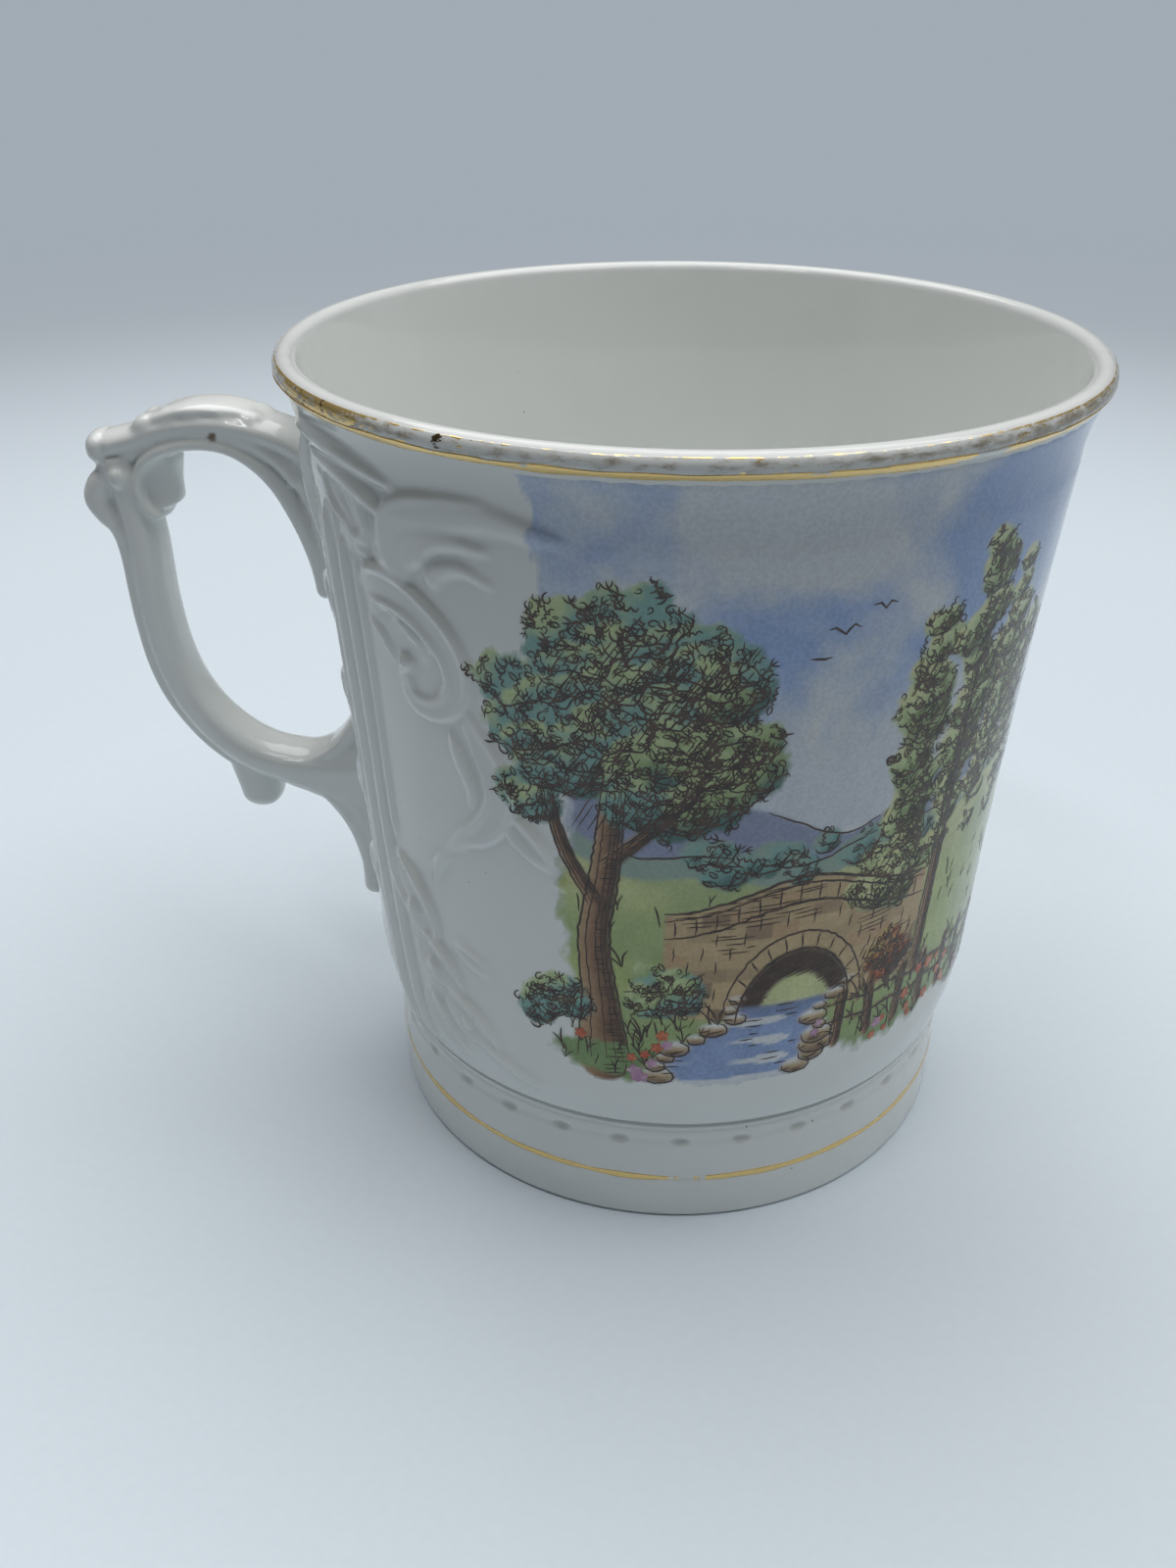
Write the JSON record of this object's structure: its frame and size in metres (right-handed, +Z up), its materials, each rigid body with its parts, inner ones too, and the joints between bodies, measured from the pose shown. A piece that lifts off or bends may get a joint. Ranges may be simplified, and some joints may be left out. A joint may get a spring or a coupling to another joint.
{
  "type": "porcelain mug",
  "caption": "Tapered porcelain drinking mug with a rolled, gilded lip, a straight foot, moulded scroll relief, a printed landscape and an ornate scroll handle.",
  "frame": {"origin": "on the surface that the foot ring stands on, under the middle of the whole mug with its handle", "axes": "+Z up along the cup's axis, the handle points to -X, the printed side faces +X; the cup's axis stands at x = 12.6 mm"},
  "size_m": [0.1098, 0.0844, 0.09],
  "materials": {
    "porcelain": "gloss clear glaze over white porcelain",
    "slip": "white porcelain slip under the same glaze",
    "gold": "thin fired gold, worn",
    "enamel": "fired on-glaze enamel, glossy"
  },
  "bodies": {
    "root": {"cup_body": "porcelain", "handle": "porcelain", "upper_handle_joint": "slip", "lower_handle_joint": "slip", "rim_gilding": "gold", "rim_gold_line": "gold", "foot_gold_line": "gold", "transfer_print": "enamel"}
  },
  "joints": []
}
